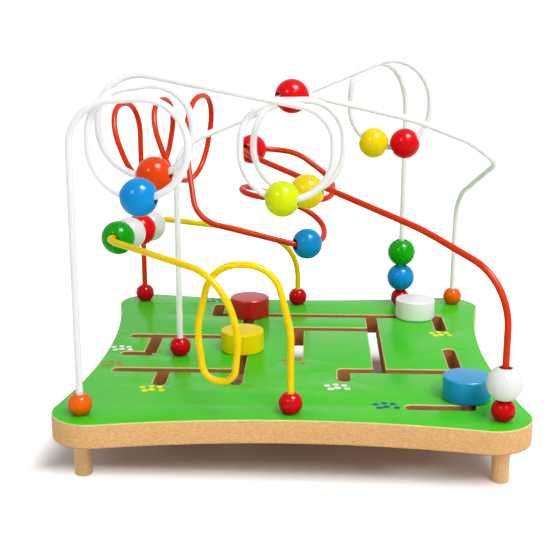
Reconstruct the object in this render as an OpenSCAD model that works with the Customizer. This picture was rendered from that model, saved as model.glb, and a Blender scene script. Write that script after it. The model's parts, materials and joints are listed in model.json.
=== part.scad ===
// Bead maze: a slotted play board on four legs, with bent wires that carry loose beads.
// The origin is on the floor under the middle of the board, X to the right, Y to the back, Z up.

/* [Board] */
// Width of the board, left to right
board_w = 345; // [290:1:400]
// Depth of the board, front to back
board_d = 343; // [290:1:400]
// Thickness of the board
board_t = 18; // [16:0.5:25]
// Radius of the board's corners
corner_r = 30; // [22:1:36]
// How far each side curves in at its middle
side_dip = 15; // [6:0.5:17]

/* [Legs] */
// Diameter of a leg
leg_d = 13; // [10:0.5:18]
// Height of the board's underside above the floor
leg_h = 34.5; // [25:0.5:60]
// Depth of the blind hole that a leg is glued into
leg_in = 10; // [6:0.5:12]
// Bevel round the lower end of a leg
leg_bevel = 1; // [0.5:0.1:2]

/* [Wires] */
// Thickness of the wires
wire_d = 5; // [4:0.25:5.5]
// Height that the wires are drawn for, above the board
wire_h = 250; // [240:1:270]
// Radius of a plain bend, to the middle of the wire
bend_r = 30; // [26:0.5:32]
// Depth of the blind hole that a wire's end is glued into
wire_in = 14; // [8:0.5:15]
// Radius of the turns of the upright coils, to the middle of the wire
coil_r = 34; // [32:0.5:36]
// Radius of the bends of the flat coil, to the middle of the wire
flat_coil_r = 27; // [26:0.25:28]
// Height of the turns of the left coil
left_coil_h = 68; // [66:0.5:74]
// Height of the turns of the middle coil
middle_coil_h = 70; // [69:0.5:76]
// Height of the turns of the back coil
back_coil_h = 76; // [74:0.5:84]
// Step of the back coil from one turn to the next
back_coil_pitch = 36; // [30:0.5:38]
// Width of the low loop in front
front_loop_w = 67; // [60:0.5:74]

/* [Beads] */
// Diameter of a sliding bead
bead_d = 26; // [22:0.25:27]
// How much wider than the wire the bore of a sliding bead is
bore_play = 3.75; // [3.5:0.05:4.5]
// Diameter of a foot bead
foot_d = 17.5; // [16.5:0.25:19]
// Height of a foot bead between its flat ends
foot_h = 15; // [13:0.25:15.5]

/* [Slot sliders] */
// Width of the slots
slot_w = 10; // [8:0.25:12]
// Diameter of a knob
knob_d = 36; // [30:0.5:38]
// Height of a knob
knob_h = 17.5; // [14:0.5:20]
// Bevel round a knob's edges
knob_bevel = 1; // [0.5:0.1:3]
// Depth of the blind hole for the peg in a knob
peg_in = 10; // [6:0.5:12]
// Diameter of the keeper disc under the board
keeper_d = 24; // [18:0.5:28]
// Thickness of the keeper disc
keeper_t = 6; // [5:0.25:9]
// Diameter of the screw's shank
screw_d = 4; // [3:0.25:4.5]
// Length of the screw
screw_l = 20; // [14:0.5:24]
// Diameter of the screw's head
screw_head_d = 8; // [7:0.25:9]
// Height of the screw's head
screw_head_h = 2.4; // [2:0.1:3]

/* [Clearances] */
// Gap between pieces that move on each other
play = 0.3; // [0.2:0.05:0.4]
// Gap at each side of a peg in its slot
slot_play = 0.5; // [0.3:0.05:1]
// Gap round a glued leg, peg or wire end
glue_gap = 0.1; // [0.05:0.01:0.3]

/* [Hidden] */
$fn = 48;
board_top = leg_h + board_t;
wire_r = wire_d / 2;
bead_bore = wire_d + bore_play;
bore_half = sqrt(bead_d ^ 2 - bead_bore ^ 2) / 2;
bead_step = bead_d + play;
peg_d = slot_w - 2 * slot_play;
peg_bottom = leg_h - play;
peg_top = board_top + play + peg_in;
cut = 1;

// Steps of the board's outline, and of the wires' section and bends
side_steps = 18;
corner_steps = 10;
wire_sides = 10;
bend_step = 12;

// Places on the board are in thousandths of its width and depth, from its middle.
// Heights of the wires are in thousandths of wire_h, from the top of the board.
function on_board(x, y) = [x * board_w, y * board_d] / 1000;
function height(z) = z * wire_h / 1000;

// Legs, as name and place
legs = [
  ["front_left", on_board(-443, -397)],
  ["front_right", on_board(443, -397)],
  ["back_left", on_board(-443, 397)],
  ["back_right", on_board(443, 397)],
];

// Wire ends, as name, place and colour of the foot bead
feet = [
  ["front_left", on_board(-435, -437), "darkorange"],
  ["back_right", on_board(435, 437), "darkorange"],
  ["left", on_board(-275, -47), "crimson"],
  ["back", on_board(287, 420), "crimson"],
  ["front_right", on_board(435, -437), "crimson"],
  ["back_left", on_board(-435, 437), "crimson"],
  ["front_middle", on_board(0, -414), "crimson"],
  ["back_middle", on_board(0, 414), "crimson"],
];

// Lanes that the knobs run in
left_lane = -128;
middle_lane = 200;
right_lane = 377;
back_lane = 300;
front_lane = -373;

// Slots, as the places of their two ends
slots = [for (s = [
  [[-406, 102], [left_lane, 102]],
  [[-351, 102], [-351, -38]],
  [[-351, -38], [-406, -38]],
  [[-406, -157], [left_lane, -157]],
  [[-299, -157], [-299, -245]],
  [[left_lane, back_lane], [left_lane, -236]],
  [[-217, back_lane], [right_lane, back_lane]],
  [[-217, back_lane], [-217, 388]],
  [[middle_lane, back_lane], [middle_lane, -146]],
  [[middle_lane, 178], [6, 178]],
  [[6, 178], [6, -52]],
  [[116, -146], [right_lane, -146]],
  [[116, -146], [116, -204]],
  [[right_lane, 12], [right_lane, front_lane]],
  [[right_lane, front_lane], [255, front_lane]],
  [[right_lane, back_lane], [right_lane, 187]],
]) [for (p = s) on_board(p.x, p.y)]];

// Sliders, as name, place at rest and colour of the knob
sliders = [
  ["red", on_board(left_lane, back_lane), "firebrick"],
  ["yellow", on_board(left_lane, 0), "gold"],
  ["white", on_board(319, back_lane), "whitesmoke"],
  ["blue", on_board(right_lane, -312), "steelblue"],
];

// Round ends belong to slot ends that don't open into another slot, one for each place
function in_slot(p, s) = abs(cross(s[1] - s[0], p - s[0])) < 1 && (p - s[0]) * (p - s[1]) < -1;
all_slot_ends = [for (s = slots) each s];
slot_ends = [for (i = [0:len(all_slot_ends) - 1])
  let (p = all_slot_ends[i],
    crossing = [for (s = slots) if (in_slot(p, s)) s],
    earlier = [for (j = [0:1:i - 1]) if (norm(all_slot_ends[j] - p) < 1) j])
  if (len(crossing) + len(earlier) == 0) p];

function unit(v) = v / norm(v);
function xyz(p) = [p.x, p.y, p.z];
function first(list, n) = [for (i = [0:n - 1]) list[i]];
function raised(p, z, r) = [p.x, p.y, z, r];
function foot(name) = [for (f = feet) if (f[0] == name) f[1]][0];
function wire_end(name) = raised(foot(name), -wire_in, 0);

// Outline of the board: between two corner discs, a side curves in by side_dip
function side_sweep(half) = asin(half / ((half ^ 2 + side_dip ^ 2) / (2 * side_dip)));
function side_arc(p, q) =
  let (half = norm(q - p) / 2, along = unit(q - p), out = [along.y, -along.x],
    reach = (half ^ 2 + side_dip ^ 2) / (2 * side_dip),
    middle = (p + q) / 2 + (reach - side_dip) * out)
  [for (k = [0:side_steps]) let (a = side_sweep(half) * (2 * k / side_steps - 1))
    middle + (reach - corner_r) * (sin(a) * along - cos(a) * out)];
function corner_arc(q, from, to) =
  [for (k = [1:corner_steps - 1]) let (a = from + (to - from) * k / corner_steps)
    q + corner_r * [cos(a), sin(a)]];
disc_x = board_w / 2 - corner_r;
disc_y = board_d / 2 - corner_r;
discs = [[-disc_x, -disc_y], [disc_x, -disc_y], [disc_x, disc_y], [-disc_x, disc_y]];
board_outline = [for (k = [0:3]) let (p = discs[k], q = discs[(k + 1) % 4], s = discs[(k + 2) % 4]) each concat(
  side_arc(p, q),
  corner_arc(q, 90 * (k - 1) - side_sweep(norm(q - p) / 2), 90 * k + side_sweep(norm(s - q) / 2)))];

// Corners of one upright turn, clockwise from its top right as seen from the front.
// low is the middle of its bottom, height its full height, and yaw how far it is turned about Z.
// The upper bends are tighter, because the wire slopes there from turn to turn.
top_ease = 4;
function upright_turn(low, height, yaw) =
  [for (s = [[1, 1], [1, 0], [-1, 0], [-1, 1]])
    [low.x + s[0] * coil_r * cos(yaw), low.y - s[0] * coil_r * sin(yaw), low.z + s[1] * height,
      coil_r - s[1] * top_ease]];

// Rows of a bend table, from places, heights and shares of the plain bend
function corner(x, y, z, share = 1) = raised(on_board(x, y), height(z), share * bend_r);

// Upright coils: the middles of their bottoms
coil_yaw = 8;
right_yaw = 6;
left_low = [corner(-293, -475, 636), corner(-296, -356, 668)];
middle_low = [corner(-14, -292, 588), corner(9, -198, 586)];
right_low = corner(230, 201, 652);
left_turns = [for (p = left_low) upright_turn(p, left_coil_h, coil_yaw)];
middle_turns = [for (p = middle_low) upright_turn(p, middle_coil_h, coil_yaw)];
right_turn = upright_turn(right_low, 2 * coil_r, right_yaw);

// Flat coil: the corners of each turn about its middle, in bend radii, their heights and shares of the radius
flat_coil_mid = on_board(-17, 178);
flat_coil_turns = [
  [[-1.48, 0.04, 632, 1], [-1.48, 1.96, 630, 1], [0.2, 1.55, 612, 1.7], [1.37, 1.04, 526, 1], [1.37, -1.04, 480, 1]],
  [[-1.56, -1.04, 504, 1], [-1.56, 1.07, 512, 1], [1.11, 1.04, 384, 1], [1.11, -1.04, 312, 1]],
];
flat_coil = [for (turn = flat_coil_turns) for (p = turn)
  raised(flat_coil_mid + flat_coil_r * [p.x, p.y], height(p.z), flat_coil_r * p[3])];

// Back coil: it goes round an axis along X and ends over its foot.
// The top of each turn lies lower than the one before, and the strands slant from their bottom to their top.
back_turns = 3;
back_lean = 0.55 * back_coil_pitch;
back_slant = [0.68 * back_coil_pitch, -0.36 * back_coil_pitch];
back_fall = 0.05 * back_coil_h;
back_far = foot("back_left").y;
back_near = back_far - 2 * coil_r;
back_start = foot("back_left").x - back_lean + (back_turns - 1) * back_coil_pitch;
back_coil = [for (i = [0:back_turns - 1]) for (s = [[0, 0], [0, 1], [1, 1], [1, 0]])
  [back_start - i * back_coil_pitch + s[0] * back_lean + (1 - s[1]) * back_slant[s[0]],
    s[0] == 0 ? back_near : back_far,
    height(808) - s[1] * i * back_fall - (1 - s[1]) * back_coil_h, 0.94 * coil_r]];

// Front loop: places beside the front middle foot, in thousandths of the loop's width
function front_loop(x, y, z, share) =
  raised(foot("front_middle") + front_loop_w * [x, y] / 1000, height(z), share * bend_r);

// Bend tables: the corners of each wire, as x, y, height above the board and radius of the bend
white_coils_bends = concat(
  [wire_end("front_left"), corner(-435, -437, 96, 2), corner(-423, -484, 888, 1.07)],
  left_turns[0],
  first(left_turns[1], 3),
  [raised(left_turns[1][3], height(974), bend_r)],
  [raised(middle_turns[0][0], height(840), 0.93 * bend_r)],
  [for (i = [1:3]) middle_turns[0][i]],
  first(middle_turns[1], 3),
  [raised(middle_turns[1][3], height(912), 1.22 * bend_r)],
  [corner(275, 36, 772, 8), corner(429, 131, 680, 3.3), corner(496, 172, 604, 0.53)],
  [corner(435, 437, 420, 1.33)],
  [wire_end("back_right")]);
white_loop_bends = [
  wire_end("left"),
  corner(-275, -47, 692),
  raised(right_turn[0], height(1016), 1.25 * bend_r),
  right_turn[1],
  right_turn[2],
  raised(right_turn[3], height(936), 0.87 * bend_r),
  corner(287, 420, 920, 1.5),
  wire_end("back"),
];
red_bends = concat(
  [wire_end("front_right"), corner(435, -437, 404, 1.5), corner(275, -262, 496, 8)],
  flat_coil,
  [corner(-249, 117, 412), raised([back_start, back_near], height(608), 1.33 * bend_r)],
  [for (i = [1:len(back_coil) - 2]) back_coil[i]],
  [wire_end("back_left")]);
side_front = corner(-409, -222, 444, 0.73);
side_back = side_front + bead_d * [0.92, 5.35, -0.46, 0];
yellow_bends = [
  wire_end("front_middle"),
  front_loop(0, 0, 240, 2),
  front_loop(-179, 30, 432, 0.83),
  front_loop(-836, 90, 432, 0.83),
  front_loop(-1000, 90, 240, 2),
  front_loop(-925, 30, 96, 0.4),
  front_loop(-597, -90, 96, 0.4),
  front_loop(-537, -149, 240, 2),
  front_loop(-716, -209, 416, 1.2),
  side_front,
  side_back,
  corner(-174, 280, 340, 2),
  corner(0, 414, 232, 1.5),
  wire_end("back_middle"),
];

// The bend at corner i of a table: directions in and out, turn, length used of the straights, middle
function way_in(bends, i) = unit(xyz(bends[i]) - xyz(bends[i - 1]));
function way_out(bends, i) = way_in(bends, i + 1);
function bend_angle(bends, i) = acos(min(1, way_in(bends, i) * way_out(bends, i)));
function bend_reach(bends, i) = bends[i][3] * tan(bend_angle(bends, i) / 2);
function bend_side(bends, i) =
  let (u = way_in(bends, i), v = way_out(bends, i)) unit(v - (u * v) * u);
function bend_middle(bends, i) =
  xyz(bends[i]) - bend_reach(bends, i) * way_in(bends, i) + bends[i][3] * bend_side(bends, i);

// Point and direction on the bend at corner i, at angle a from its start, set in towards its middle
function on_bend(bends, i, a, inset = 0) =
  let (u = way_in(bends, i), n = bend_side(bends, i), r = bends[i][3] - inset)
  [bend_middle(bends, i) + r * (sin(a) * u - cos(a) * n), cos(a) * u + sin(a) * n];

// Point and direction on the straight after corner i, at a distance from its bend, hung below the wire
function on_straight(bends, i, distance, hang) =
  let (u = way_out(bends, i))
  [xyz(bends[i]) + (bend_reach(bends, i) + distance) * u + hang * unit([0, 0, -1] + u.z * u), u];

// The whole route of a wire, as points and directions, with no two points on one spot
function route(bends) =
  let (last = len(bends) - 1,
    all = [[xyz(bends[0]), way_out(bends, 0)],
      for (i = [1:last - 1]) let (a = bend_angle(bends, i), n = ceil(a / bend_step))
        for (k = [0:n]) on_bend(bends, i, a * k / n),
      [xyz(bends[last]), way_in(bends, last)]])
  [for (i = [0:len(all) - 1]) if (i == 0 || norm(all[i][0] - all[i - 1][0]) > 0.05) all[i]];

// Section directions along a route, which turn with it and don't twist about it
function across(v, u) = unit(v - (v * u) * u);
function section_axes(way) =
  [for (i = 0, v = across([1, 0.3, 0], way[0][1]); i < len(way);
    i = i + 1, v = across(v, way[min(i, len(way) - 1)][1])) v];

// How far the middle of a bead is set in from the wire, towards the middle of a bend
function bore_sag(r) = r - sqrt(r ^ 2 - bore_half ^ 2);
// in the bottom of a turn, the wire lifts the bead near the ends of its bore
function inset_low(r) = bore_sag(r) + wire_r + play - bead_bore / 2;
// in a flat turn, the wire has the same gap at the middle and at the ends of the bore
function inset_flat(r) = bore_sag(r) / 2;
// on a straight wire or over the top of a bend, the bead hangs from the middle of its bore
bead_hang = bead_bore / 2 - wire_r - play;

// Bead k of a stack on a foot bead, where the rims of the bores meet
function stacked(name, k) =
  [[foot(name).x, foot(name).y, foot_h + play + bore_half + k * (2 * bore_half + play)], [0, 0, 1]];

// Half the angle between the two beads that lie side by side in the right loop
pair_angle = asin(bead_step / 2 / (coil_r - inset_low(coil_r))) + 0.5;

// Sliding beads, as name, place and direction on the wire, and colour
beads = [
  ["blue_left", on_bend(white_coils_bends, 4, 90, inset_low(coil_r)), "dodgerblue"],
  ["orange_left", on_bend(white_coils_bends, 8, 80, inset_low(coil_r)), "orangered"],
  ["lime_middle", on_bend(white_coils_bends, 13, 5, inset_low(coil_r)), "yellowgreen"],
  ["yellow_middle", on_bend(white_coils_bends, 16, 78, inset_low(coil_r)), "gold"],
  ["red_top", on_bend(white_coils_bends, 18, 84, bead_hang), "crimson"],
  ["red_right", on_bend(white_loop_bends, 3, 90 - pair_angle, inset_low(coil_r)), "crimson"],
  ["yellow_right", on_bend(white_loop_bends, 4, pair_angle, inset_low(coil_r)), "gold"],
  ["blue_back", stacked("back", 0), "dodgerblue"],
  ["green_back", stacked("back", 1), "forestgreen"],
  ["white_right", stacked("front_right", 0), "whitesmoke"],
  ["red_coil", on_bend(red_bends, 4, 30, inset_flat(flat_coil_r)), "crimson"],
  ["blue_coil", on_bend(red_bends, 11, 62, inset_flat(flat_coil_r)), "dodgerblue"],
  ["green_side", on_straight(yellow_bends, 9, bore_half + play, bead_hang), "forestgreen"],
  ["white_side_front", on_straight(yellow_bends, 9, bore_half + play + bead_step, bead_hang), "whitesmoke"],
  ["red_side", on_straight(yellow_bends, 9, bore_half + play + 2 * bead_step, bead_hang), "crimson"],
  ["white_side_back", on_straight(yellow_bends, 9, bore_half + play + 3 * bead_step, bead_hang), "whitesmoke"],
];

// The board, with its slots and the blind holes for wires and legs
module board() {
  color("limegreen") difference() {
    translate([0, 0, leg_h]) linear_extrude(board_t) polygon(board_outline);
    for (s = slots) slot(s[0], s[1]);
    for (p = slot_ends) translate([p.x, p.y, leg_h - cut]) cylinder(d = slot_w, h = board_t + 2 * cut);
    for (f = feet) translate([f[1].x, f[1].y, board_top - wire_in - glue_gap])
      cylinder(d = wire_d + 2 * glue_gap, h = wire_in + glue_gap + cut);
    for (l = legs) translate([l[1].x, l[1].y, leg_h - cut])
      cylinder(d = leg_d + 2 * glue_gap, h = leg_in + glue_gap + cut);
  }
}

// The straight part of one slot, through the board
module slot(p, q) {
  along = q - p;
  translate([p.x, p.y, leg_h - cut]) rotate([0, 0, atan2(along.y, along.x)])
    translate([0, -slot_w / 2, 0]) cube([norm(along), slot_w, board_t + 2 * cut]);
}

// One turned leg, with a bevelled lower end
module leg(place) {
  color("burlywood") translate([place.x, place.y, 0]) {
    cylinder(d1 = leg_d - 2 * leg_bevel, d2 = leg_d, h = leg_bevel);
    translate([0, 0, leg_bevel]) cylinder(d = leg_d, h = leg_h + leg_in - leg_bevel);
  }
}

// One round wire, swept along its bend table
module rod(bends) {
  way = route(bends);
  axes = section_axes(way);
  n = wire_sides;
  rings = len(way);
  points = [for (i = [0:rings - 1]) for (k = [0:n - 1])
    way[i][0] + wire_r * (cos(360 * k / n) * axes[i] + sin(360 * k / n) * cross(way[i][1], axes[i]))];
  sides = [for (i = [0:rings - 2]) for (k = [0:n - 1]) let (a = i * n + k, b = i * n + (k + 1) % n)
    each [[a, a + n, b + n], [a, b + n, b]]];
  ends = [[for (k = [0:n - 1]) k], [for (k = [n - 1:-1:0]) (rings - 1) * n + k]];
  translate([0, 0, board_top]) polyhedron(points, concat(sides, ends), convexity = 10);
}

// One foot bead, turned with two flat ends and glued on a wire end
module foot_bead(place) {
  translate([place.x, place.y, board_top]) difference() {
    intersection() {
      translate([0, 0, foot_h / 2]) sphere(d = foot_d);
      cylinder(d = foot_d, h = foot_h);
    }
    translate([0, 0, -cut]) cylinder(d = wire_d + 2 * glue_gap, h = foot_h + 2 * cut);
  }
}

// One drilled bead, with its bore along the direction of the wire
module bead(at) {
  translate(at[0] + [0, 0, board_top]) rotate([0, acos(at[1].z), atan2(at[1].y, at[1].x)])
    difference() {
      sphere(d = bead_d);
      cylinder(d = bead_bore, h = bead_d + 2 * cut, center = true);
    }
}

// Round knob on top of the board, with a blind hole for its peg
module knob(place) {
  translate([place.x, place.y, board_top + play]) difference() {
    union() {
      cylinder(d1 = knob_d - 2 * knob_bevel, d2 = knob_d, h = knob_bevel);
      translate([0, 0, knob_bevel]) cylinder(d = knob_d, h = knob_h - 2 * knob_bevel);
      translate([0, 0, knob_h - knob_bevel]) cylinder(d1 = knob_d, d2 = knob_d - 2 * knob_bevel, h = knob_bevel);
    }
    translate([0, 0, -cut]) cylinder(d = peg_d + 2 * glue_gap, h = peg_in + glue_gap + cut);
  }
}

// Peg through the slot, with a hole for the screw from below
module peg(place) {
  color("burlywood") translate([place.x, place.y, peg_bottom]) difference() {
    cylinder(d = peg_d, h = peg_top - peg_bottom);
    translate([0, 0, -cut]) cylinder(d = screw_d + 2 * glue_gap, h = screw_l - keeper_t + cut + glue_gap);
  }
}

// Keeper disc under the board, countersunk for the screw
module keeper(place) {
  color("burlywood") translate([place.x, place.y, peg_bottom - keeper_t]) difference() {
    cylinder(d = keeper_d, h = keeper_t);
    translate([0, 0, -cut]) cylinder(d = screw_d + 2 * glue_gap, h = keeper_t + 2 * cut);
    translate([0, 0, -glue_gap]) cylinder(d1 = screw_head_d + 4 * glue_gap, d2 = screw_d + 2 * glue_gap,
      h = screw_head_h + glue_gap);
  }
}

// Countersunk screw that holds the keeper on the peg
module screw(place) {
  color("silver") translate([place.x, place.y, peg_bottom - keeper_t]) {
    cylinder(d1 = screw_head_d, d2 = screw_d, h = screw_head_h - glue_gap);
    translate([0, 0, screw_head_h - glue_gap]) cylinder(d = screw_d, h = screw_l - screw_head_h + glue_gap);
  }
}

board();
color("white") rod(white_coils_bends);  // wire_white_coils
color("white") rod(white_loop_bends);  // wire_white_loop
color("orangered") rod(red_bends);  // wire_red
color("gold") rod(yellow_bends);  // wire_yellow
for (l = legs) leg(l[1]);
for (f = feet) color(f[2]) foot_bead(f[1]);
for (b = beads) color(b[2]) bead(b[1]);
for (s = sliders) color(s[2]) knob(s[1]);
for (s = sliders) peg(s[1]);
for (s = sliders) keeper(s[1]);
for (s = sliders) screw(s[1]);
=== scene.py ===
import json
import math
import bpy
from mathutils import Matrix, Vector
from mathutils.geometry import tessellate_polygon


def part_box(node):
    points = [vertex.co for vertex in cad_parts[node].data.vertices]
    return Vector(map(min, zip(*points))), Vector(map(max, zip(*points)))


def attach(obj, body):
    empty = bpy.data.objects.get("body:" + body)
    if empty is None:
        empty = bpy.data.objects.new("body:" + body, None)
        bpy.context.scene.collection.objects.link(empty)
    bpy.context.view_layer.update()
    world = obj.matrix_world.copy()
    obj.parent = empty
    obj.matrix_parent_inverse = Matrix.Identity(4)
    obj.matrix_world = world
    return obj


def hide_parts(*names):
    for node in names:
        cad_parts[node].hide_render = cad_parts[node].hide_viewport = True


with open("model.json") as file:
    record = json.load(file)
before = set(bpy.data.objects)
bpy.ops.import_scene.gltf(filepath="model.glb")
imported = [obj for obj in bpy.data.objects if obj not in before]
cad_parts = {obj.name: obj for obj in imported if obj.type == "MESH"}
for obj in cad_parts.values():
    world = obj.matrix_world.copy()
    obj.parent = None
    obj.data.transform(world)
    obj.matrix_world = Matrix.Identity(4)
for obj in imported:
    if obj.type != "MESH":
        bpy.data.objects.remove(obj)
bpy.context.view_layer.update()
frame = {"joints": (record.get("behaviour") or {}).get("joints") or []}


# Board: 18 mm fibreboard, routed to a square with hollow sides and round corners.
# One branching slot is cut right through it for the sliders. The top is sprayed green, the sides
# are sanded, the slot walls are drawn a darker brown, and the underside is left as the cutter made it.
board_width, board_depth = 345, 343
underside, board_top = (round(1000 * corner.z, 2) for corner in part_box("board"))
corner_radius, side_dip = 30, 15
side_steps, corner_steps, quarter_steps = 60, 24, 12
slot_width = 10
eased_edge = 0.7


def on_board(x, y):
    """A place on the board in mm, from thousandths of its width and depth."""
    return Vector((x * board_width / 1000, y * board_depth / 1000))


def board_outline(inset):
    """The board's edge, drawn that many mm inside it: hollow sides between corner discs."""
    x, y = board_width / 2 - corner_radius, board_depth / 2 - corner_radius
    discs = [Vector((-x, -y)), Vector((x, -y)), Vector((x, y)), Vector((-x, y))]
    halves = [(discs[(k + 1) % 4] - discs[k]).length / 2 for k in range(4)]
    reaches = [(half ** 2 + side_dip ** 2) / (2 * side_dip) for half in halves]
    sweeps = [math.asin(half / reach) for half, reach in zip(halves, reaches)]
    edge = []
    for k in range(4):
        p, q, reach, sweep = discs[k], discs[(k + 1) % 4], reaches[k], sweeps[k]
        along = (q - p).normalized()
        out = Vector((along.y, -along.x))
        middle = (p + q) / 2 + (reach - side_dip) * out
        hollow = reach - corner_radius + inset
        for i in range(side_steps + 1):
            a = sweep * (2 * i / side_steps - 1)
            edge.append(middle + hollow * (math.sin(a) * along - math.cos(a) * out))
        first = math.radians(90 * (k - 1)) - sweep
        last = math.radians(90 * k) + sweeps[(k + 1) % 4]
        for i in range(1, corner_steps):
            a = first + (last - first) * i / corner_steps
            edge.append(q + (corner_radius - inset) * Vector((math.cos(a), math.sin(a))))
    return edge


# the slot's branches, as the places of their two ends
left_lane, middle_lane, right_lane, back_lane, front_lane = -128, 200, 377, 300, -373
branches = [
    ((-406, 102), (left_lane, 102)), ((-351, 102), (-351, -38)), ((-351, -38), (-406, -38)),
    ((-406, -157), (left_lane, -157)), ((-299, -157), (-299, -245)),
    ((left_lane, back_lane), (left_lane, -236)), ((-217, back_lane), (right_lane, back_lane)),
    ((-217, back_lane), (-217, 388)), ((middle_lane, back_lane), (middle_lane, -146)),
    ((middle_lane, 178), (6, 178)), ((6, 178), (6, -52)), ((116, -146), (right_lane, -146)),
    ((116, -146), (116, -204)), ((right_lane, 12), (right_lane, front_lane)),
    ((right_lane, front_lane), (255, front_lane)), ((right_lane, back_lane), (right_lane, 187)),
]
branch_ends = {end for branch in branches for end in branch}
joined = {end: set() for end in branch_ends}
for p, q in branches:
    on_it = sorted(e for e in branch_ends if min(p[0], q[0]) <= e[0] <= max(p[0], q[0])
                   and min(p[1], q[1]) <= e[1] <= max(p[1], q[1]))
    for here, there in zip(on_it, on_it[1:]):
        joined[here].add(there)
        joined[there].add(here)


def slot_outline(half_width):
    """The slot's edge, walked once round all its branches with the edge on the right hand."""
    start = ((-406, 102), (-351, 102))  # from the left end of the first branch to its first junction
    here, there = start
    edge = []
    while not edge or (here, there) != start:
        way = (on_board(*there) - on_board(*here)).normalized()
        right = Vector((way.y, -way.x))
        turns = []
        for onward in joined[there]:
            new_way = (on_board(*onward) - on_board(*there)).normalized()
            turn = round(math.atan2(way.cross(new_way), way.dot(new_way)) / (math.pi / 2))
            turns.append((2 if onward == here else turn, onward))
        turn, onward = min(turns)
        if turn == -1:
            edge.append(on_board(*there) + half_width * (right - way))
        for i in range(quarter_steps * turn + 1 if turn > 0 else 0):
            a = math.pi / 2 / quarter_steps * i
            edge.append(on_board(*there) + half_width * (math.cos(a) * right + math.sin(a) * way))
        here, there = there, onward
    return edge


def colour(code):
    """Linear colour of an sRGB hex code."""
    parts = [int(code[i:i + 2], 16) / 255 for i in (1, 3, 5)]
    return [c / 12.92 if c <= 0.04045 else ((c + 0.055) / 1.055) ** 2.4 for c in parts] + [1]


def node(tree, kind, inputs, **settings):
    """Adds one node with its own settings. Each input gets a value, or the socket that feeds it."""
    made = tree.nodes.new("ShaderNode" + kind)
    for name, value in settings.items():
        setattr(made, name, value)
    for name, value in inputs.items():
        if isinstance(value, bpy.types.NodeSocket):
            tree.links.new(value, made.inputs[name])
        else:
            made.inputs[name].default_value = value
    return made


# sockets of a Mix of two colours: its share, the two colours and what comes out
mix_share, mix_from, mix_to, mixed = 0, 6, 7, 2


def finish(name):
    """A new, empty material and its node tree."""
    made = bpy.data.materials.new(name)
    made.use_nodes = True
    made.node_tree.nodes.clear()
    return made, made.node_tree


def per_mm(size):
    """Texture scale at which a pattern repeats about once in that many mm."""
    return 1000 / size


# Sprayed lacquer on primed fibreboard: satin, with faint cloudy patches and an orange peel.
# The peel is really about 0.8 mm wide, and is drawn at 1.6 mm so that it shows.
green_lacquer, tree = finish("green_sprayed_lacquer")
place = node(tree, "TexCoord", {})
clouds = node(tree, "TexNoise", {"Vector": place.outputs["Object"], "Scale": per_mm(70), "Detail": 3})
peel = node(tree, "TexNoise", {"Vector": place.outputs["Object"], "Scale": per_mm(1.6), "Detail": 2})
tint = node(tree, "Mix", {mix_share: clouds.outputs["Fac"], mix_from: colour("#3fc41a"),
                          mix_to: colour("#4fd028")}, data_type="RGBA")
bump = node(tree, "Bump", {"Height": peel.outputs["Fac"], "Strength": 0.05, "Distance": 0.0001})
gloss = node(tree, "MapRange", {"Value": clouds.outputs["Fac"], "To Min": 0.18, "To Max": 0.24})
shader = node(tree, "BsdfPrincipled", {"Base Color": tint.outputs[mixed], "Roughness": gloss.outputs[0],
                                       "Normal": bump.outputs[0], "IOR": 1.48, "Specular IOR Level": 0.07})
node(tree, "OutputMaterial", {"Surface": shader.outputs[0]})


def fibreboard(name, light, dark, fleck, layer, roughness):
    """Cut fibreboard: matt, with pressed flecks that lie flat in the board. Sizes are in mm."""
    made, tree = finish(name)
    place = node(tree, "TexCoord", {})
    flat = node(tree, "Mapping", {"Vector": place.outputs["Object"],
                                  "Scale": (per_mm(fleck), per_mm(fleck), per_mm(layer))})
    flecks = node(tree, "TexNoise", {"Vector": flat.outputs[0], "Scale": 1, "Detail": 4,
                                     "Roughness": 0.6})
    sharp = node(tree, "MapRange", {"Value": flecks.outputs["Fac"], "From Min": 0.35, "From Max": 0.68})
    tint = node(tree, "Mix", {mix_share: sharp.outputs[0], mix_from: colour(dark), mix_to: colour(light)},
                data_type="RGBA")
    bump = node(tree, "Bump", {"Height": flecks.outputs["Fac"], "Strength": 0.25, "Distance": 0.0003})
    shader = node(tree, "BsdfPrincipled", {"Base Color": tint.outputs[mixed], "Roughness": roughness,
                                           "Normal": bump.outputs[0], "IOR": 1.5, "Specular IOR Level": 0.2})
    node(tree, "OutputMaterial", {"Surface": shader.outputs[0]})
    return made


# The flecks are really about 0.3 mm thick, and are drawn at 0.7 to 1.8 mm so that they show.
# The outer sides are sanded and sealed, and stay light. The slot walls are drawn a darker brown.
# The eased upper edges are drawn as a pale yellow-green line.
sanded_side = fibreboard("sanded_fibreboard", "#ecc084", "#d8a163", 2.2, 0.9, 0.6)
dark_slot_wall = fibreboard("dark_slot_fibreboard", "#b87b3e", "#9c6228", 5, 0.7, 0.7)
raw_underside = fibreboard("raw_fibreboard", "#bd8f60", "#9d7146", 1.8, 1.8, 0.8)
pale_rim = fibreboard("pale_eased_edge", "#e6dc98", "#d3cc7c", 5, 0.7, 0.6)


def piece(name, corners, faces, finishes, body, slot, *nodes, where=None):
    """Makes a mesh from corners in mm and from faces with their finish, places it and lets it ride.
    Edges that turn more than 38 degrees stay sharp."""
    mesh = bpy.data.meshes.new(name)
    mesh.from_pydata([Vector(c) / 1000 for c in corners], [], [f for f, _ in faces])
    for made in finishes:
        mesh.materials.append(made)
    for polygon, (_, index) in zip(mesh.polygons, faces):
        polygon.material_index = index
        polygon.use_smooth = len(polygon.vertices) == 4  # flat ends have three corners or many
    mesh.set_sharp_from_angle(angle=math.radians(38))
    made = bpy.data.objects.new(name, mesh)
    bpy.context.scene.collection.objects.link(made)
    made.matrix_world = where or Matrix.Identity(4)
    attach(made, body)
    if nodes:
        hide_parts(*nodes)
    return made


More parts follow.
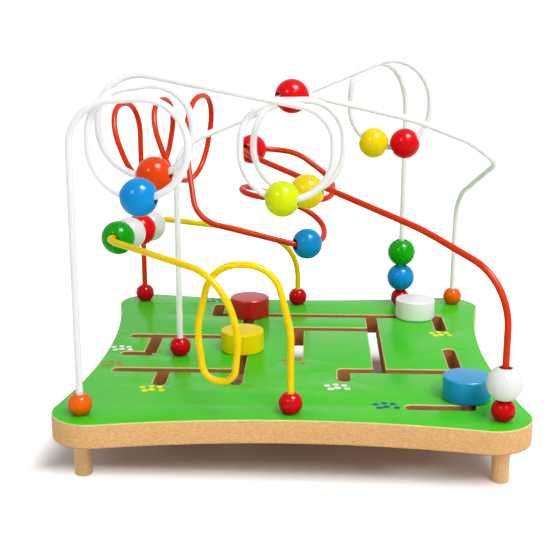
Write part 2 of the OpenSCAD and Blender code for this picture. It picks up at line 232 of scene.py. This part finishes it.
# rings round the board's edge and round the slot, from the top down, with eased edges,
# and the numbers of the finishes of the faces between them
painted, rim, sanded, cut, raw = range(5)
eased = [math.radians(a) for a in (0, 30, 60, 90)]
levels = [(eased_edge * (1 - math.sin(a)), board_top - eased_edge * (1 - math.cos(a))) for a in eased]
levels += [(inset, underside + board_top - height) for inset, height in reversed(levels)]
corners, faces, caps = [], [], []
for outline, offset, wall in ((board_outline, 0, sanded), (slot_outline, slot_width / 2, cut)):
    rings = []
    for inset, height in levels:
        ring = outline(offset + inset)
        rings.append(range(len(corners), len(corners) + len(ring)))
        corners += [(p.x, p.y, height) for p in ring]
    caps.append((rings[0], rings[-1]))
    for k, (upper, lower) in enumerate(zip(rings, rings[1:])):
        index = rim if k < len(eased) - 1 else wall if k == len(eased) - 1 else raw
        for i in range(len(upper)):
            j = (i + 1) % len(upper)
            quad = (upper[i], lower[i], lower[j], upper[j])
            faces.append((quad if wall == sanded else quad[::-1], index))
for end, index in ((0, painted), (1, raw)):
    loops = [cap[end] for cap in caps]
    flat = [i for loop in loops for i in loop]
    for a, b, c in tessellate_polygon([[Vector(corners[i]) for i in loop] for loop in loops]):
        p, q, s = (Vector(corners[flat[i]]).to_2d() for i in (a, b, c))
        upwards = (q - p).cross(s - p) > 0
        triangle = (flat[a], flat[b], flat[c])
        faces.append((triangle if upwards == (index == painted) else triangle[::-1], index))
piece("board_panel", corners, faces, [green_lacquer, pale_rim, sanded_side, dark_slot_wall, raw_underside],
      "stand", "painted_board", "board")


# Printed dots: eight groups of six dots on the green, to match to the knobs by colour.
# They are pad printed in one layer of ink, thin enough for the green to grin through.
dot_places = [(-7.2, 3, 2.4), (-4.6, -4, 2.6), (-0.8, 5.5, 2.3),  # x and y in mm, and radius
              (0.4, -1.5, 2.7), (5.7, 4, 2.5), (8, -3, 2.4)]
dot_groups = {
    "white": [(34, -88), (-146.8, -0.8)],
    "blue": [(69, -126), (-83, 149)],
    "yellow": [(128, 50), (-107, -97)],
    "red": [(-147.9, -41.6), (-1, -31)],
}
ink_colours = {"white": "#fafaf6", "blue": "#02587a", "yellow": "#fdf01c", "red": "#b4601e"}
ink_cover = {"white": 0.3, "blue": 0.3, "yellow": 0.28, "red": 0.42}
ink_height, ink_spread, dot_sides = 0.06, 0.1, 28
for ink, groups in dot_groups.items():
    # Pad printing ink: dry and a little uneven, with pinholes drawn at 1.5 mm so that they show.
    made, tree = finish(ink + "_printing_ink")
    place = node(tree, "TexCoord", {})
    thin = node(tree, "TexNoise", {"Vector": place.outputs["Object"], "Scale": per_mm(1.5), "Detail": 2})
    cover = node(tree, "MapRange", {"Value": thin.outputs["Fac"], "From Min": ink_cover[ink] - 0.08,
                                    "From Max": ink_cover[ink] + 0.1})
    tint = node(tree, "Mix", {mix_share: cover.outputs[0], mix_from: colour("#5bc738"),
                              mix_to: colour(ink_colours[ink])}, data_type="RGBA")
    shader = node(tree, "BsdfPrincipled", {"Base Color": tint.outputs[mixed], "Roughness": 0.5, "IOR": 1.48,
                                           "Specular IOR Level": 0.1})
    node(tree, "OutputMaterial", {"Surface": shader.outputs[0]})
    corners, faces = [], []
    for x, y in groups:
        for dx, dy, radius in dot_places:
            first = len(corners)
            for height, grown in ((board_top + ink_height, 0), (board_top - ink_height, ink_spread)):
                corners += [(x + dx + (radius + grown) * math.cos(math.tau * i / dot_sides),
                             y + dy + (radius + grown) * math.sin(math.tau * i / dot_sides), height)
                            for i in range(dot_sides)]
            lower = first + dot_sides
            faces.append((tuple(range(first, lower)), 0))
            for i in range(dot_sides):
                j = (i + 1) % dot_sides
                faces.append(((first + i, lower + i, lower + j, first + j), 0))
    piece(ink + "_dots", corners, faces, [made], "stand", ink + "_paint")


# Legs: four beech dowels, turned, with the foot end eased.
# Each is glued into a blind hole in the underside.
def rounded(corners, step):
    """A path through corners, each given as a point and a radius. Its bends are drawn in steps of degrees."""
    path = [Vector(corners[0][0])]
    for (before, _), (here, radius), (after, _) in zip(corners, corners[1:], corners[2:]):
        before, here, after = Vector(before), Vector(here), Vector(after)
        way_in, way_out = (here - before).normalized(), (after - here).normalized()
        turn = math.acos(max(-1, min(1, way_in.dot(way_out))))
        side = way_out - way_in.dot(way_out) * way_in
        if radius == 0 or side.length < 1e-6:
            path.append(here)
            continue
        side.normalize()
        middle = here - radius * math.tan(turn / 2) * way_in + radius * side
        steps = max(2, math.ceil(math.degrees(turn) / step))
        for k in range(steps + 1):
            a = turn * k / steps
            path.append(middle + radius * (math.sin(a) * way_in - math.cos(a) * side))
    path.append(Vector(corners[-1][0]))
    return path


def turned(profile, closed=False, around=72, bore=0):
    """Corners and faces of a profile turned about Z, which runs from axis to axis or is a closed ring.
    The strip that closes the ring is the wall of its bore, with the number of its own finish."""
    corners, faces, rings = [], [], []
    for radius, height in profile:
        count = around if radius > 1e-6 else 1
        rings.append(range(len(corners), len(corners) + count))
        angles = [math.tau * i / around for i in range(count)]
        corners += [(radius * math.cos(a), radius * math.sin(a), height) for a in angles]
    for lower, upper in zip(rings, rings[1:] + rings[:1] if closed else rings[1:]):
        for i in range(around):
            j = (i + 1) % around
            quad = [lower[i % len(lower)], lower[j % len(lower)],
                    upper[j % len(upper)], upper[i % len(upper)]]
            faces.append((tuple(dict.fromkeys(quad)), bore if upper is rings[0] else 0))
    return corners, faces


def profile(*corners):
    """A turned profile from corners, each given as radius, height and rounding in mm."""
    rounding_step = 15
    path = rounded([(Vector((r, z)), rounding) for r, z, rounding in corners], rounding_step)
    return [(p.x, p.y) for p in path]


# Beech: pale and close, with short brown flecks along the grain, under a thin clear coat.
beech, tree = finish("lacquered_beech")
place = node(tree, "TexCoord", {})
along = node(tree, "Mapping", {"Vector": place.outputs["Object"],
                               "Scale": (per_mm(1.6), per_mm(1.6), per_mm(18))})
grain = node(tree, "TexNoise", {"Vector": along.outputs[0], "Scale": 1, "Detail": 4, "Roughness": 0.55})
short = node(tree, "Mapping", {"Vector": place.outputs["Object"],
                               "Scale": (per_mm(0.7), per_mm(0.7), per_mm(3))})
fleck = node(tree, "TexNoise", {"Vector": short.outputs[0], "Scale": 1, "Detail": 1})
dark = node(tree, "MapRange", {"Value": fleck.outputs["Fac"], "From Min": 0.6, "From Max": 0.72,
                               "To Max": 0.5})
wood = node(tree, "Mix", {mix_share: grain.outputs["Fac"], mix_from: colour("#e4b070"),
                          mix_to: colour("#f7cf95")}, data_type="RGBA")
tint = node(tree, "Mix", {mix_share: dark.outputs[0], mix_from: wood.outputs[mixed],
                          mix_to: colour("#9a6a40")}, data_type="RGBA")
bump = node(tree, "Bump", {"Height": grain.outputs["Fac"], "Strength": 0.2, "Distance": 0.0002})
shader = node(tree, "BsdfPrincipled", {"Base Color": tint.outputs[mixed], "Roughness": 0.45,
                                       "Normal": bump.outputs[0], "IOR": 1.5})
node(tree, "OutputMaterial", {"Surface": shader.outputs[0]})


def under(name):
    """Placing on the middle of a CAD node's lower end, in metres."""
    low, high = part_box(name)
    return Matrix.Translation(((low.x + high.x) / 2, (low.y + high.y) / 2, low.z))


leg_radius, leg_in_board = 6.5, 10
leg_length = underside + leg_in_board
for corner in ("front_left", "front_right", "back_left", "back_right"):
    corners, faces = turned(profile((0, 0, 0), (leg_radius, 0, 1), (leg_radius, leg_length, 0.3),
                                    (0, leg_length, 0)))
    piece("dowel_leg_" + corner, corners, faces, [beech], "stand", "bare_wood", "leg_" + corner,
          where=under("leg_" + corner))


# Wires: four steel rods, bent by hand round formers and dipped in a plastic coat.
# The coat is white, red or yellow, and both ends are glued into blind holes in the board.
wire_radius, wire_in_board = 2.5, 14
wires_height, plain_bend = 250, 30
coil_bend, flat_coil_bend, top_ease = 34, 27, 4
left_coil_height, middle_coil_height, coil_yaw, right_yaw = 68, 70, 8, 6
front_loop_width = 67
bend_step = 4
foot_places = {
    "front_left": (-435, -437), "back_right": (435, 437), "left": (-275, -47), "back": (287, 420),
    "front_right": (435, -437), "back_left": (-435, 437), "front_middle": (0, -414), "back_middle": (0, 414),
}


def raised(place, height, radius):
    """A corner of a wire over a place in mm, at a height over the board, and the radius of its bend."""
    return Vector((place.x, place.y, height)), radius


def corner(x, y, height, share=1):
    """A corner of a wire, by thousandths of the board and of the wires' height. Its bend is a share of
    the plain bend."""
    return raised(on_board(x, y), height * wires_height / 1000, share * plain_bend)


def wire_end(name):
    """The end of a wire, at the bottom of its blind hole."""
    return raised(on_board(*foot_places[name]), -wire_in_board, 0)


def upright_turn(low, height, yaw):
    """Corners of one turn over the middle of its bottom, clockwise from its top right.
    The upper bends are tighter, because the wire slopes there from turn to turn."""
    swing = coil_bend * Vector((math.cos(math.radians(yaw)), -math.sin(math.radians(yaw)), 0))
    return [(low + across * swing + up * Vector((0, 0, height)), coil_bend - top_ease * up)
            for across, up in ((1, 1), (1, 0), (-1, 0), (-1, 1))]


left_turns = [upright_turn(corner(*low)[0], left_coil_height, coil_yaw)
              for low in ((-293, -475, 636), (-296, -356, 668))]
middle_turns = [upright_turn(corner(*low)[0], middle_coil_height, coil_yaw)
                for low in ((-14, -292, 588), (9, -198, 586))]
right_turn = upright_turn(corner(230, 201, 652)[0], 2 * coil_bend, right_yaw)

# the flat coil's corners about its middle, in bend radii, with their heights and shares of the radius
flat_coil_middle = on_board(-17, 178)
flat_coil_corners = [
    (-1.48, 0.04, 632, 1), (-1.48, 1.96, 630, 1), (0.2, 1.55, 612, 1.7), (1.37, 1.04, 526, 1),
    (1.37, -1.04, 480, 1), (-1.56, -1.04, 504, 1), (-1.56, 1.07, 512, 1), (1.11, 1.04, 384, 1),
    (1.11, -1.04, 312, 1),
]
flat_coil = [raised(flat_coil_middle + flat_coil_bend * Vector((x, y)), z * wires_height / 1000,
                    share * flat_coil_bend) for x, y, z, share in flat_coil_corners]

# the back coil goes round an axis along X and ends over its foot, and the top of each turn
# lies a little lower than the one before
back_turns, back_coil_height, back_coil_step = 3, 76, 36
back_top, back_fall = 0.808 * wires_height, 0.05 * back_coil_height
back_lean = 0.55 * back_coil_step
back_slants = (0.68 * back_coil_step, -0.36 * back_coil_step)
back_foot = on_board(*foot_places["back_left"])
back_start = back_foot.x - back_lean + (back_turns - 1) * back_coil_step
back_coil = []
for i in range(back_turns):
    for far, up in ((0, 0), (0, 1), (1, 1), (1, 0)):
        spot = Vector((back_start - i * back_coil_step + far * back_lean + (1 - up) * back_slants[far],
                       back_foot.y - (1 - far) * 2 * coil_bend))
        drop = up * i * back_fall + (1 - up) * back_coil_height
        back_coil.append(raised(spot, back_top - drop, 0.94 * coil_bend))


def front_loop(x, y, height, share):
    """A corner of the low loop, by thousandths of its width from the front middle foot."""
    place = on_board(*foot_places["front_middle"]) + front_loop_width / 1000 * Vector((x, y))
    return raised(place, height * wires_height / 1000, share * plain_bend)


# the side stretch holds four beads, with some room to slide
bead_width = 26
side_front = corner(-409, -222, 444, 0.73)
side_back = (side_front[0] + bead_width * Vector((0.92, 5.35, -0.46)), side_front[1])
wires = {
    "white_coils": [
        wire_end("front_left"), corner(-435, -437, 96, 2), corner(-423, -484, 888, 1.07),
        *left_turns[0], *left_turns[1][:3], raised(left_turns[1][3][0], 0.974 * wires_height, plain_bend),
        raised(middle_turns[0][0][0], 0.84 * wires_height, 0.93 * plain_bend),
        *middle_turns[0][1:], *middle_turns[1][:3],
        raised(middle_turns[1][3][0], 0.912 * wires_height, 1.22 * plain_bend),
        corner(275, 36, 772, 8), corner(429, 131, 680, 3.3), corner(496, 172, 604, 0.53),
        corner(435, 437, 420, 1.33), wire_end("back_right"),
    ],
    "white_loop": [
        wire_end("left"), corner(-275, -47, 692),
        raised(right_turn[0][0], 1.016 * wires_height, 1.25 * plain_bend),
        right_turn[1], right_turn[2], raised(right_turn[3][0], 0.936 * wires_height, 0.87 * plain_bend),
        corner(287, 420, 920, 1.5), wire_end("back"),
    ],
    "red": [
        wire_end("front_right"), corner(435, -437, 404, 1.5), corner(275, -262, 496, 8),
        *flat_coil, corner(-249, 117, 412),
        raised(Vector((back_start, back_foot.y - 2 * coil_bend)), 0.608 * wires_height, 1.33 * plain_bend),
        *back_coil[1:-1], wire_end("back_left"),
    ],
    "yellow": [
        wire_end("front_middle"), front_loop(0, 0, 240, 2), front_loop(-179, 30, 432, 0.83),
        front_loop(-836, 90, 432, 0.83), front_loop(-1000, 90, 240, 2), front_loop(-925, 30, 96, 0.4),
        front_loop(-597, -90, 96, 0.4), front_loop(-537, -149, 240, 2), front_loop(-716, -209, 416, 1.2),
        side_front, side_back, corner(-174, 280, 340, 2), corner(0, 414, 232, 1.5), wire_end("back_middle"),
    ],
}


def dipped_rod(path, radius, sides=24):
    """Corners and faces of a round rod along a path, whose section doesn't twist."""
    corners, faces = [], []
    ways = [(b - a).normalized() for a, b in zip(path, path[1:])]
    ways = [ways[0]] + [(a + b).normalized() for a, b in zip(ways, ways[1:])] + [ways[-1]]
    across = Vector((1, 0.3, 0))  # no wire starts this way
    for point, way in zip(path, ways):
        across = (across - across.dot(way) * way).normalized()
        beside = way.cross(across)
        angles = [math.tau * k / sides for k in range(sides)]
        corners += [point + radius * (math.cos(a) * across + math.sin(a) * beside) for a in angles]
    for i in range(len(path) - 1):
        for k in range(sides):
            a, b = i * sides + k, i * sides + (k + 1) % sides
            faces.append(((a, b, b + sides, a + sides), 0))
    last = (len(path) - 1) * sides
    faces.append((tuple(range(sides - 1, -1, -1)), 0))
    faces.append((tuple(range(last, last + sides)), 0))
    return corners, faces


wire_colours = {"white": ("#fbf9fb", "#f5f3f6"), "red": ("#e23a08", "#d63006"),
                "yellow": ("#fddc06", "#f6ce02")}
wire_coats = {}
for name, (light, dark) in wire_colours.items():
    # Dip coated vinyl: a smooth gloss skin that runs a little thick and thin along the rod.
    wire_coats[name], tree = finish(name + "_dipped_vinyl")
    place = node(tree, "TexCoord", {})
    runs = node(tree, "TexNoise", {"Vector": place.outputs["Object"], "Scale": per_mm(9), "Detail": 2})
    tint = node(tree, "Mix", {mix_share: runs.outputs["Fac"], mix_from: colour(dark), mix_to: colour(light)},
                data_type="RGBA")
    bump = node(tree, "Bump", {"Height": runs.outputs["Fac"], "Strength": 0.04, "Distance": 0.0004})
    shader = node(tree, "BsdfPrincipled", {"Base Color": tint.outputs[mixed], "Roughness": 0.28,
                                           "Normal": bump.outputs[0], "IOR": 1.53, "Specular IOR Level": 0.075})
    node(tree, "OutputMaterial", {"Surface": shader.outputs[0]})
for name, bends in wires.items():
    corners, faces = dipped_rod(rounded(bends, bend_step), wire_radius)
    coat = name.split("_")[0]
    piece("bent_wire_" + name, corners, faces, [wire_coats[coat]], "stand", coat + "_wire", "wire_" + name,
          where=Matrix.Translation((0, 0, board_top / 1000)))


# Foot beads: eight small turned beads with two flat ends, one on each wire end.
# They hide the hole, rest on the board and are glued to it.
def enamel(name, code, roughness=0.2, gloss=0.08, depth=0.85):
    """Gloss enamel on turned beech, dipped or sprayed: it settles, so the grain only just shows through,
    and it lies thick and thin, so its colour varies from the full one down to that depth."""
    made, tree = finish(name)
    full = colour(code)
    place = node(tree, "TexCoord", {})
    along = node(tree, "Mapping", {"Vector": place.outputs["Object"],
                                   "Scale": (per_mm(1.8), per_mm(1.8), per_mm(16))})
    grain = node(tree, "TexNoise", {"Vector": along.outputs[0], "Scale": 1, "Detail": 3})
    runs = node(tree, "TexNoise", {"Vector": place.outputs["Object"], "Scale": per_mm(11), "Detail": 2})
    thin = [c * depth for c in full[:3]] + [1]
    tint = node(tree, "Mix", {mix_share: runs.outputs["Fac"], mix_from: thin, mix_to: full}, data_type="RGBA")
    bump = node(tree, "Bump", {"Height": grain.outputs["Fac"], "Strength": 0.01, "Distance": 0.0002})
    shader = node(tree, "BsdfPrincipled", {"Base Color": tint.outputs[mixed], "Roughness": roughness,
                                           "Normal": bump.outputs[0], "IOR": 1.5, "Specular IOR Level": gloss})
    node(tree, "OutputMaterial", {"Surface": shader.outputs[0]})
    return made


def ball_arc(radius, first, last):
    """Profile points on a ball about the origin, between two angles in degrees from +Z."""
    arc_step = 5
    steps = math.ceil(abs(last - first) / arc_step)
    angles = [math.radians(first + (last - first) * k / steps) for k in range(steps + 1)]
    return [(radius * math.sin(a), radius * math.cos(a)) for a in angles]


foot_radius, foot_height, foot_bore, foot_ease = 8.75, 15, 2.55, 0.3
foot_end = foot_height / 2
flat = math.degrees(math.acos(foot_end / foot_radius))


def worn(arc):
    """The edge between the ball and a flat end, worn a little in from its sharp corner."""
    return [(r * 0.985, z * 0.999) for r, z in arc]


foot_profile = [(foot_bore, -foot_end + foot_ease), (foot_bore + foot_ease, -foot_end)]
foot_profile += worn(ball_arc(foot_radius, 180 - flat, 180 - flat - 3))
foot_profile += ball_arc(foot_radius, 180 - flat - 5, flat + 5)
foot_profile += worn(ball_arc(foot_radius, flat + 3, flat))
foot_profile += [(foot_bore + foot_ease, foot_end), (foot_bore, foot_end - foot_ease)]
foot_enamels = {"orange": enamel("orange_foot_enamel", "#f86804", roughness=0.13),
                "red": enamel("red_foot_enamel", "#d4030d", roughness=0.13)}
for foot in foot_places:
    shade = "orange" if foot in ("front_left", "back_right") else "red"
    corners, faces = turned(foot_profile, closed=True)
    piece("glued_foot_" + foot, corners, faces, [foot_enamels[shade]], "stand", shade + "_paint",
          "foot_bead_" + foot, where=under("foot_bead_" + foot) @ Matrix.Translation((0, 0, foot_end / 1000)))


# Sliding beads: sixteen turned balls, drilled wide so that they run round the bends.
# They are enamelled outside, their bores are drawn dark as painted shade, and they are threaded on before the
# wires are glued in.
bead_radius, bead_bore, bead_rim, rim_steps = bead_width / 2, 4.375, 0.8, 6
rim_out = bead_bore + bead_rim
rim_middle = Vector((rim_out, math.sqrt((bead_radius - bead_rim) ** 2 - rim_out ** 2)))
rim_angle = math.degrees(math.atan2(rim_middle.x, rim_middle.y))
rim_arc = [math.radians(rim_angle + (-90 - rim_angle) * k / rim_steps) for k in range(rim_steps + 1)]
upper_rim = [(rim_middle.x + bead_rim * math.sin(a), rim_middle.y + bead_rim * math.cos(a)) for a in rim_arc]
bead_profile = [(r, -z) for r, z in reversed(upper_rim)]
bead_profile += ball_arc(bead_radius, 180 - rim_angle, rim_angle)[1:-1] + upper_rim
bead_enamels = {
    "blue": enamel("blue_bead_enamel", "#0a94de"),
    "orange": enamel("orange_bead_enamel", "#fa4a08"),
    "lime": enamel("lime_bead_enamel", "#dff20a"),
    "yellow": enamel("yellow_bead_enamel", "#ffe40a"),
    "red": enamel("red_bead_enamel", "#ec0612"),
    "green": enamel("green_bead_enamel", "#0aac0a"),
    "white": enamel("white_bead_enamel", "#ececea", depth=0.95),
}
# The bore: dark brown, with faint rings across it, as painted shade in the deep, narrow hole.
bore_painted_shade, tree = finish("bore_painted_shade")
place = node(tree, "TexCoord", {})
rings = node(tree, "Mapping", {"Vector": place.outputs["Object"],
                               "Scale": (per_mm(4), per_mm(4), per_mm(0.9))})
marks = node(tree, "TexNoise", {"Vector": rings.outputs[0], "Scale": 1, "Detail": 2})
tint = node(tree, "Mix", {mix_share: marks.outputs["Fac"], mix_from: colour("#2c1d12"),
                          mix_to: colour("#553a25")}, data_type="RGBA")
shader = node(tree, "BsdfPrincipled", {"Base Color": tint.outputs[mixed], "Roughness": 0.8,
                                       "Specular IOR Level": 0.2})
node(tree, "OutputMaterial", {"Surface": shader.outputs[0]})

bead_names = ["blue_left", "orange_left", "lime_middle", "yellow_middle", "red_top", "red_right",
              "yellow_right", "blue_back", "green_back", "white_right", "red_coil", "blue_coil",
              "green_side", "white_side_front", "red_side", "white_side_back"]
bead_joints = {joint["child"]: joint for joint in frame["joints"]}
for name in bead_names:
    low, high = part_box("bead_" + name)
    middle = (low + high) / 2
    joint = bead_joints[name + "_bead"]
    # the bore lies along the wire: along the slide, or square to the swing's axis and its arm
    bore = Vector(joint["axis"])
    if joint["type"] == "hinge":
        bore = bore.cross(middle - Vector(joint["pos_m"]))
    shade = name.split("_")[0]
    corners, faces = turned(bead_profile, closed=True, around=96, bore=1)
    piece("drilled_ball_" + name, corners, faces, [bead_enamels[shade], bore_painted_shade], name + "_bead",
          shade + "_paint", "bead_" + name,
          where=Matrix.Translation(middle) @ bore.to_track_quat("Z", "Y").to_matrix().to_4x4())


# Slot sliders: four. A flat knob on the board is glued to a peg through the slot.
# A keeper disc under the board is held on the peg by a countersunk screw.
knob_radius, knob_height = 18, 17.5
knob_enamels = {
    "red": enamel("red_knob_enamel", "#cf060c", roughness=0.28, gloss=0.36),
    "yellow": enamel("yellow_knob_enamel", "#ffe004", roughness=0.28, gloss=0.06),
    "white": enamel("white_knob_enamel", "#f8f8f6", roughness=0.28, gloss=0.3, depth=0.95),
    "blue": enamel("blue_knob_enamel", "#0ca0de", roughness=0.28, gloss=0.3),
}
peg_radius, peg_length = 4.5, 28.6
keeper_radius, keeper_height = 12, 6
screw_hole, sink_radius, sink_depth = 2.1, 4.2, 2.4
head_radius, head_height, shank_radius, screw_length = 4, 2.3, 2, 20
tip_radius, tip_length = 0.3, 2
cross_arm, cross_half, recess_depth, recess_taper = 2.2, 0.45, 1.4, 0.75

# Zinc plated steel: bright and slightly grey, with dull marks from tumbling, drawn at 0.6 mm.
plated_steel, tree = finish("zinc_plated_steel")
place = node(tree, "TexCoord", {})
tumble = node(tree, "TexNoise", {"Vector": place.outputs["Object"], "Scale": per_mm(0.6), "Detail": 3})
dull = node(tree, "MapRange", {"Value": tumble.outputs["Fac"], "To Min": 0.25, "To Max": 0.45})
shader = node(tree, "BsdfPrincipled", {"Base Color": colour("#c4c6c8"), "Metallic": 1,
                                       "Roughness": dull.outputs[0]})
node(tree, "OutputMaterial", {"Surface": shader.outputs[0]})


def cross_screw(around=48):
    """A countersunk screw, head down, with a cross recess sunk in its head."""
    angles = [math.tau * i / around for i in range(around)]
    circle = [(math.cos(a), math.sin(a)) for a in angles]
    rim = [(head_radius * x, head_radius * y, 0) for x, y in circle]
    arm, half = cross_arm, cross_half
    cross = [(half, arm), (-half, arm), (-half, half), (-arm, half), (-arm, -half), (-half, -half),
             (-half, -arm), (half, -arm), (half, -half), (arm, -half), (arm, half), (half, half)]
    corners = rim + [(x, y, 0) for x, y in cross]
    corners += [(recess_taper * x, recess_taper * y, recess_depth) for x, y in cross]
    mouth, pit = around, around + len(cross)
    faces = []
    for a, b, c in tessellate_polygon([[Vector(p) for p in rim], [Vector((x, y, 0)) for x, y in cross]]):
        p, q, s = (Vector(corners[i]).to_2d() for i in (a, b, c))
        faces.append(((c, b, a) if (q - p).cross(s - p) > 0 else (a, b, c), 0))
    for i in range(len(cross)):
        j = (i + 1) % len(cross)
        faces.append(((mouth + i, pit + i, pit + j, mouth + j), 0))
    faces.append((tuple(reversed(range(pit, pit + len(cross)))), 0))
    below = 0
    for radius, height in ((shank_radius, head_height), (shank_radius, screw_length - tip_length),
                           (tip_radius, screw_length)):
        ring = len(corners)
        corners += [(radius * x, radius * y, height) for x, y in circle]
        for i in range(around):
            j = (i + 1) % around
            faces.append(((below + i, below + j, ring + j, ring + i), 0))
        below = ring
    faces.append((tuple(range(below, below + around)), 0))
    return corners, faces


for shade, coat in knob_enamels.items():
    body = shade + "_slider"
    corners, faces = turned(profile((0, 0, 0), (knob_radius, 0, 1.2), (knob_radius, knob_height, 1.4),
                                    (0, knob_height, 0)), around=96)
    piece("flat_knob_" + shade, corners, faces, [coat], body, shade + "_paint", "knob_" + shade,
          where=under("knob_" + shade))
    corners, faces = turned(profile((0, 0, 0), (peg_radius, 0, 0.4), (peg_radius, peg_length, 0.4),
                                    (0, peg_length, 0)))
    piece("slot_peg_" + shade, corners, faces, [beech], body, "bare_wood", "peg_" + shade,
          where=under("peg_" + shade))
    ring = profile((screw_hole, keeper_height, 0), (keeper_radius, keeper_height, 0.8), (keeper_radius, 0, 0.8),
                   (sink_radius, 0, 0.2), (screw_hole, sink_depth, 0.2), (screw_hole, keeper_height - 0.2, 0))
    corners, faces = turned(ring[::-1], closed=True)
    piece("keeper_disc_" + shade, corners, faces, [beech], body, "bare_wood", "keeper_" + shade,
          where=under("keeper_" + shade))
    corners, faces = cross_screw()
    piece("cross_screw_" + shade, corners, faces, [plated_steel], body, "screw_steel", "screw_" + shade,
          where=under("screw_" + shade))


# Studio: a white paper floor with a glow painted on it round the board, so that it keeps the shadow under the
# board and runs out into white, a wide lamp high on the right, one in front of it, and an even white tent. Two
# more lamps only glint in the gloss, and put no light on the paint itself.
paper_and_painted_glow, tree = finish("paper_and_painted_glow")
path = node(tree, "LightPath", {})
seen = node(tree, "Math", {0: path.outputs["Is Camera Ray"], 1: path.outputs["Is Glossy Ray"]},
            operation="MAXIMUM")
seen = node(tree, "Math", {0: seen.outputs[0], 1: path.outputs["Is Transmission Ray"]}, operation="MAXIMUM")
# a glow painted on the paper, for the camera and for gloss, rises from 122 to 158 mm out from the middle, in a
# frame fitted to the shadow
ground = node(tree, "NewGeometry", {})
wide = node(tree, "Mapping", {"Vector": ground.outputs["Position"], "Location": (0.005, -0.001, 0),
                              "Rotation": (0, 0, 0.05), "Scale": (0.78, 1, 1)})
beside = node(tree, "VectorMath", {0: wide.outputs[0]}, operation="ABSOLUTE")
beside = node(tree, "SeparateXYZ", {"Vector": beside.outputs[0]})
out = node(tree, "Math", {0: beside.outputs["X"], 1: beside.outputs["Y"]}, operation="MAXIMUM")
# white is the share of the painted glow, which leaves the board's shadow dark
white = node(tree, "MapRange", {"Value": out.outputs[0], "From Min": 0.122, "From Max": 0.158, "To Max": 0.7},
             interpolation_type="SMOOTHSTEP")
glow = node(tree, "Math", {0: seen.outputs[0], 1: white.outputs[0]}, operation="MULTIPLY")
paper = node(tree, "BsdfDiffuse", {"Color": colour("#f0eeec")})
# the painted glow: light that the paper gives off, though it is no lamp
light = node(tree, "Emission", {"Color": colour("#ffffff"), "Strength": glow.outputs[0]})
both = node(tree, "AddShader", {0: paper.outputs[0], 1: light.outputs[0]})
node(tree, "OutputMaterial", {"Surface": both.outputs[0]})
floor_half = 6
floor_corners = [(x * floor_half, y * floor_half, 0) for x, y in ((-1, -1), (1, -1), (1, 1), (-1, 1))]
floor_mesh = bpy.data.meshes.new("paper_floor")
floor_mesh.from_pydata(floor_corners, [], [(0, 1, 2, 3)])
floor_mesh.materials.append(paper_and_painted_glow)
floor = bpy.data.objects.new("paper_floor", floor_mesh)
bpy.context.scene.collection.objects.link(floor)

tent = bpy.data.worlds.new("white_tent")
tent.use_nodes = True
tree = tent.node_tree
tree.nodes.clear()
path = node(tree, "LightPath", {})
seen = node(tree, "Math", {0: path.outputs["Is Camera Ray"], 1: path.outputs["Is Glossy Ray"]},
            operation="MAXIMUM")
seen = node(tree, "Math", {0: seen.outputs[0], 1: path.outputs["Is Transmission Ray"]}, operation="MAXIMUM")
level = node(tree, "MapRange", {"Value": seen.outputs[0], "To Min": 0.48, "To Max": 1})
sky = node(tree, "Background", {"Color": colour("#ffffff"), "Strength": level.outputs[0]})
node(tree, "OutputWorld", {"Surface": sky.outputs[0]})
bpy.context.scene.world = tent

# each lamp's place and width in metres, its watts, and whether it lights the paint
lamps = {
    "high_lamp": ((1.1, -0.6, 3.1), 1.6, 30, True),
    "front_lamp": ((1.2, -2.2, 2.2), 1.4, 45, True),
    "right_glint": ((1.1, -0.9, 2.9), 1.3, 430, False),
    "left_glint": ((-1.6, -2.1, 2.1), 0.6, 67, False),
}
lamp_aim = Vector((0, 0, 0.12))
for name, (spot, size, power, lights_paint) in lamps.items():
    lamp = bpy.data.lights.new(name, "AREA")
    lamp.shape, lamp.size, lamp.energy = "DISK", size, power
    made = bpy.data.objects.new(name, lamp)
    made.visible_diffuse = lights_paint
    aimed = (lamp_aim - Vector(spot)).to_track_quat("-Z", "Y").to_matrix().to_4x4()
    made.matrix_world = Matrix.Translation(spot) @ aimed
    bpy.context.scene.collection.objects.link(made)

# the camera stands in front of the board, a little above the wires, and looks down on it
yaw, pitch, roll = (math.radians(a) for a in (-1.91, 14.72, 0.14))
across = Vector((math.cos(yaw), -math.sin(yaw), 0))
ahead = Vector((math.sin(yaw) * math.cos(pitch), math.cos(yaw) * math.cos(pitch), -math.sin(pitch)))
above = across.cross(ahead)
side = math.cos(roll) * across + math.sin(roll) * above
top = math.cos(roll) * above - math.sin(roll) * across
camera_spot = Vector((0.01631, -0.86569, board_top / 1000 + 0.28866))
lens = bpy.data.cameras.new("photo_camera")
lens.lens, lens.sensor_width = 69.27, 36
camera = bpy.data.objects.new("photo_camera", lens)
turn = Matrix((side, top, -ahead)).transposed().to_4x4()
camera.matrix_world = Matrix.Translation(camera_spot) @ turn
bpy.context.scene.collection.objects.link(camera)
bpy.context.scene.camera = camera
bpy.context.scene.view_settings.view_transform = "Standard"
